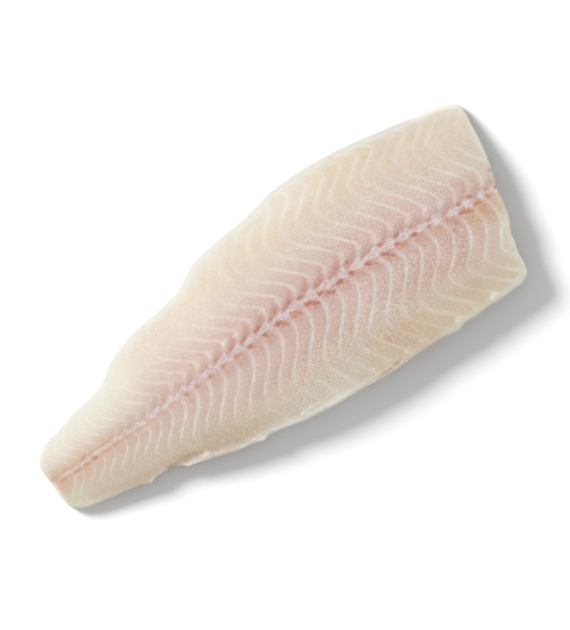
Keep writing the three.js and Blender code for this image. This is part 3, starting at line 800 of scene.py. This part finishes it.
fade = mul(choose(fade_back, fade_belly), step(out, 0.8, 5.5, 0.15, 1.0), add(1.0, mul(step(out, 10.0, 6.0), choose(-0.30, -0.08))))
breaks = step(noise(4.2, 1.5, 0.5, seed=5), 0.32, 0.60, 0.68, 1.12)
breaks = mul(breaks, add(1.0, mul(step(out, 18.0, 30.0), step(cloud, 0.36, 0.58, -0.45, 0.15))))
line = mul(line, fade, breaks)

# pale grain
grain_here = add(add(0.42, mul(step(px, 10.0, 45.0), step(px, 112.0, 90.0), step(out, 30.0, 20.0), 0.40)),
                 mul(step(across, -18.0, -26.0), step(across, -43.0, -36.0), step(px, -22.0, -4.0), step(px, 75.0, 50.0), 0.40))
grain_here = mul(grain_here, step(px, -115.0, -50.0, 0.60, 1.0), step(across, 44.0, 30.0, 0.7, 1.0))
speck = mul(sub(grain, 0.5), 1.6)
speck = add(speck, mul(speck, speck, 0.8))
speck = mul(add(speck, mul(sub(grain_soft, 0.5), 0.30)), grain_here, sub(1.0, mul(line, 0.6)), step(across, -2.0, -6.0, 1.0, 1.22))
color = blend(color, tone(0.790, 0.705, 0.680), speck, free=True)

# how far the lilac band reaches to each side: low just past a sheet, high at the next
small = step(px, -105.0, -35.0, 0.35, 1.0)
rise = add(step(headward, 0.20, 1.0), step(headward, 0.14, 0.0))
edge_up = add(add(step(px, -60.0, -20.0, 0.72, 0.95), mul(choose(rise, 0.0), small, 1.7)), mul(wobble_fine, 1.8))
edge_down = add(add(step(px, -60.0, -20.0, 0.72, 0.90), mul(choose(0.0, rise), small, 1.3)), mul(wobble_fine, 1.9))
lift_band = add(across, mul(wobble, 1.0))
above = sub(lift_band, edge_up)
below = sub(mul(lift_band, -1.0), edge_down)

# red flesh of the block ends above the band, deepest where it meets the band
clear = step(f_side, 0.02, 0.14)
finger = mul(step(sub(above, mul(headward, small, 8.5)), 2.5, -2.5), step(above, -0.5, 0.5), clear, is_back)
finger = mul(finger, step(px, -48.0, -12.0, 0.08, 1.0), step(px, 62.0, 42.0, 0.28, 1.0))
finger = mul(finger, step(patch, 0.3, 0.6, 0.75, 1.0), sub(1.0, mul(hill(px, 54.0, 10.0), 0.5)))
color = blend(color, tone(0.562, 0.325, 0.265), mul(finger, 0.78))
streak = mul(step(above, 1.7, 0.3), step(above, -0.4, 0.3), step(headward, 0.03, 0.12), step(headward, 0.95, 0.55), is_back)
streak = mul(streak, step(px, -60.0, -20.0, 0.35, 1.0), step(px, 76.0, 62.0, 0.4, 1.0), step(noise(1.8, 2.0, 0.6, seed=8), 0.32, 0.62))
color = blend(color, tone(0.500, 0.238, 0.175), mul(streak, 0.68))
color = tint(color, (1.04, 1.09, 1.15), mul(add(hill(px, 54.0, 9.0), hill(px, 84.0, 15.0)), hill(across, 6.3, 4.5)))
tongue = mul(step(below, 5.0, 0.0), step(headward, 0.30, 0.70), step(headward, 0.99, 0.90), sub(1.0, is_back))
tongue = mul(tongue, step(px, -70.0, -20.0, 0.2, 1.0), step(noise(2.4, 2.0, 0.6, seed=9), 0.35, 0.60))
color = blend(color, tone(0.540, 0.340, 0.265), mul(tongue, 0.55))
# orange-brown stain along both sides of the band in the tail
stain = calc("MAXIMUM", mul(hill(above, 0.35, 1.3), is_back), mul(hill(below, 0.45, 1.5), sub(1.0, is_back)))
stain = mul(stain, shallow, step(px, -70.0, -95.0), step(noise(2.6, 2.0, 0.6, seed=10), 0.30, 0.60, 0.25, 1.0))
color = blend(color, tone(0.540, 0.340, 0.215), mul(stain, 0.80))

pale_add = node("ShaderNodeMix", data_type="RGBA", blend_type="ADD", clamp_factor=False)
plug(pale_add.inputs["Factor"], line)
plug(pale_add.inputs["A"], color)
plug(pale_add.inputs["B"], blend(tone(0.054, 0.109, 0.132), blend(tone(0.066, 0.086, 0.106), tone(0.050, 0.052, 0.070), is_back), step(out, 16.0, 28.0)))
color = pale_add.outputs["Result"]

# lilac band along the midline
band = mul(step(above, 0.60, -0.60), step(below, 0.60, -0.60))
near_sheet = step(f_side, 0.36, 0.12)
band = mul(band, step(px, -123.0, -116.0, 0.1, 1.0), step(deep, 4.5, 1.5))
band = mul(band, add(step(px, 92.0, 76.0), mul(step(px, 76.0, 92.0), near_sheet, 0.95)))
band = mul(band, step(noise(3.2, 2.0, 0.6, seed=13), 0.26, 0.50, 0.45, 1.0))
band_color = blend(tone(0.550, 0.410, 0.380), tone(0.650, 0.575, 0.580), step(add(mul(grain, 0.45), mul(grain_soft, 0.55)), 0.38, 0.58))
color = blend(color, band_color, mul(band, step(px, -110.0, -60.0, 0.72, 0.86)))

# pale knots
pale = value("pale")
pale = step(add(pale, mul(add(sub(grain, 0.5), mul(wobble_fine, 0.5)), 0.9)), 0.22, 0.85)
color = blend(color, tone(0.660, 0.600, 0.590), mul(pale, 0.8))

# dark ends and red-brown spots
ends = mul(value("block_end"), step(px, 92.0, 100.0, 1.0, 1.5), sub(1.0, mul(hill(px, -52.0, 26.0), 0.35)))
ends = step(add(ends, mul(add(mul(sub(grain, 0.5), 0.7), wobble_fine), 0.55)), 0.16, 0.80)
color = blend(color, tone(0.490, 0.222, 0.168), mul(ends, 0.86))
spots = value("spot")
spots = mul(spots, add(1.0, mul(step(px, -72.0, -62.0), step(px, -16.0, -26.0), -0.32)))
halo = step(spots, 0.02, 0.45)
color = blend(color, tone(0.540, 0.335, 0.255), mul(halo, 0.40))
spots = step(add(spots, mul(add(mul(sub(grain, 0.5), 1.2), wobble_fine), 0.7)), 0.14, 0.78)
warm_end = add(step(px, -80.0, -100.0), step(px, 95.0, 104.0))
color = blend(color, blend(tone(0.425, 0.170, 0.130), tone(0.480, 0.245, 0.135), warm_end), mul(spots, 0.92))

# brown and orange tissue
tan = step(add(value("tan"), mul(wobble_fine, 0.35)), 0.08, 0.85)
tan_color = blend(tone(0.505, 0.310, 0.185), tone(0.430, 0.300, 0.215), mul(step(px, -55.0, -62.0), step(px, -100.0, -90.0)))
tan_color = blend(tan_color, tone(0.560, 0.365, 0.265), step(px, -112.0, -118.0))
color = blend(color, tan_color, mul(tan, 0.9))

# rim colours: pale translucent edges, with painted light on the shaded belly edge
margin = add(rim_mm, mul(wobble, 2.4))
rim_back = mul(step(margin, 6.5, 0.5), is_back, step(px, -110.0, 40.0, 0.95, 0.75))
# belly rim: partly its own paler colour, partly painted light that brightens the edge turned away from the lamp
belly_rim_pale_and_painted_light = mul(step(margin, 5.0, 1.6), sub(1.0, is_back), step(px, -88.0, -68.0, 0.35, 1.0))
belly_rim_pale_and_painted_light = mul(belly_rim_pale_and_painted_light, step(px, 12.0, 24.0, 1.0, 0.55), step(cloud, 0.35, 0.60, 0.7, 1.0))
belly_rim_pale_and_painted_light = mul(belly_rim_pale_and_painted_light, sub(1.0, mul(step(px, 98.0, 104.0), step(across, -15.0, -9.0))))
rim_back = mul(rim_back, step(px, -124.8, -116.0, 0.25, 1.0))
rim_back = mul(rim_back, sub(1.0, mul(step(px, 96.0, 108.0), step(across, 20.0, 8.0))))
color = blend(color, tone(0.555, 0.545, 0.492), mul(rim_back, step(deep, 7.0, 1.5, 0.35, 1.0)))
color = blend(color, tone(0.470, 0.475, 0.450), mul(step(rim_mm, 2.6, 0.3), is_back, step(px, -60.0, 30.0, 0.25, 0.60), step(px, 112.0, 100.0, 0.3, 1.0)))
color = blend(color, tone(0.690, 0.670, 0.600), mul(belly_rim_pale_and_painted_light, 0.80, step(deep, 7.0, 1.5, 0.25, 1.0)))
color = blend(color, tan_color, mul(tan, step(rim_mm, 5.0, 2.0), 0.6))
cut_rim = mul(step(add(rim_mm, mul(wobble, 0.8)), 2.6, 0.6), step(px, 100.0, 106.0), shallow)
color = blend(color, tone(0.660, 0.640, 0.550), mul(cut_rim, 0.65, sub(1.0, mul(tan, 0.8))))
rim_head = mul(step(margin, 5.6, 2.2), sub(1.0, is_back), step(px, 52.0, 66.0), step(px, 119.0, 110.0), step(deep, 7.0, 1.5, 0.4, 1.0))
color = blend(color, tone(0.610, 0.585, 0.490), mul(rim_head, 0.55))
# painted light: a near-white glow along the very belly edge, where it turns from the lamp
painted_glow_edge = mul(step(rim_mm, 1.5, 0.3), step(deep, 4.5, 1.0), sub(1.0, is_back), step(px, 104.0, 98.0), step(px, -92.0, -72.0, 0.25, 1.0))
color = blend(color, tone(0.780, 0.790, 0.690), mul(painted_glow_edge, 0.75))
low = step(across, -37.5, -41.0)
color = tint(color, (1.08, 1.08, 1.10), mul(low, hill(px, 6.0, 15.0)))
color = tint(color, (0.95, 0.91, 0.90), mul(low, hill(px, 50.0, 24.0)))
color = tint(color, (1.00, 1.04, 1.10), mul(low, hill(px, 97.0, 14.0)))
color = tint(color, (0.94, 0.88, 0.86), mul(step(rim_mm, 6.5, 3.0), sub(1.0, is_back), step(px, -32.0, -46.0), step(px, -114.0, -100.0)))
skin = step(add(value("membrane"), mul(add(sub(grain_soft, 0.5), wobble_fine), 0.7)), 0.14, 0.90)
color = blend(color, tone(0.810, 0.800, 0.755), mul(skin, 0.62))

bsdf = node("ShaderNodeBsdfPrincipled")
plug(bsdf.inputs["Base Color"], color)
bsdf.inputs["Roughness"].default_value = 0.55
bsdf.inputs["Specular IOR Level"].default_value = 0.25
bsdf.inputs["Subsurface Weight"].default_value = 0.75
bsdf.inputs["Subsurface Radius"].default_value = (1.0, 0.70, 0.52)
bsdf.inputs["Subsurface Scale"].default_value = 0.0022
bump_fine = node("ShaderNodeBump")
bump_fine.inputs["Strength"].default_value = 0.30
bump_fine.inputs["Distance"].default_value = 0.0004
plug(bump_fine.inputs["Height"], add(mul(grain, 0.8), mul(line, 0.3)))
plug(bsdf.inputs["Normal"], bump_fine.outputs["Normal"])
surface = node("ShaderNodeOutputMaterial")
plug(surface.inputs["Surface"], bsdf.outputs[0])

fillet.data.materials.append(flesh)
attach(fillet, "root")
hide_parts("fillet")

# ---------------------------------------------------------------------------
# Pale floor, soft studio light, camera straight above
# ---------------------------------------------------------------------------
floor_mesh = bpy.data.meshes.new("floor")
F = 4.0
floor_mesh.from_pydata([(-F, -F, -0.0002), (F, -F, -0.0002), (F, F, -0.0002), (-F, F, -0.0002)], [], [(0, 1, 2, 3)])
floor = bpy.data.objects.new("floor", floor_mesh)
bpy.context.scene.collection.objects.link(floor)
paper = bpy.data.materials.new("white_ground")
paper.use_nodes = True
ground = paper.node_tree.nodes["Principled BSDF"]
ground.inputs["Base Color"].default_value = (0.9, 0.9, 0.9, 1)
ground.inputs["Roughness"].default_value = 0.9
ground.inputs["Specular IOR Level"].default_value = 0.1
floor_mesh.materials.append(paper)
floor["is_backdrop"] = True

world = bpy.data.worlds.new("studio")
bpy.context.scene.world = world
world.use_nodes = True
world.node_tree.nodes["Background"].inputs[0].default_value = (0.965, 0.98, 1.0, 1)
world.node_tree.nodes["Background"].inputs[1].default_value = 0.565

LIGHT_HEIGHT = math.radians(37.0)
LIGHT_TURN = math.radians(24.0)
toward = Vector((-math.sin(LIGHT_TURN) * math.cos(LIGHT_HEIGHT), math.cos(LIGHT_TURN) * math.cos(LIGHT_HEIGHT),
                 math.sin(LIGHT_HEIGHT)))
key_data = bpy.data.lights.new("key", "SUN")
key_data.angle = 0.36
key_data.energy = 3.25
key = bpy.data.objects.new("key", key_data)
key.location = toward * 2.0
key.rotation_euler = (-toward).to_track_quat("-Z", "Y").to_euler()
bpy.context.scene.collection.objects.link(key)

PX_PER_MM = 2.218
TURN = math.radians(34)
cam_data = bpy.data.cameras.new("camera")
cam_data.sensor_width = 36.0
high_mm = 3000.0
plane_mm = 11.0
cam_data.lens = 36.0 * (high_mm - plane_mm) / (630 / PX_PER_MM)
cam_data.clip_end = 20
cam = bpy.data.objects.new("camera", cam_data)
right = np.array([math.cos(TURN), -math.sin(TURN)])
upward = np.array([math.sin(TURN), math.cos(TURN)])
centre = (285 - 274.387) / PX_PER_MM * right + (321.225 - 315) / PX_PER_MM * upward
cam.location = (centre[0] * MM, centre[1] * MM, high_mm * MM)
cam.rotation_euler = (0, 0, -TURN)
bpy.context.scene.collection.objects.link(cam)
bpy.context.scene.camera = cam
bpy.context.scene.view_settings.view_transform = "Standard"
bpy.context.scene.view_settings.look = "None"

bpy.context.view_layer.update()
low, high_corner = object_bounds()
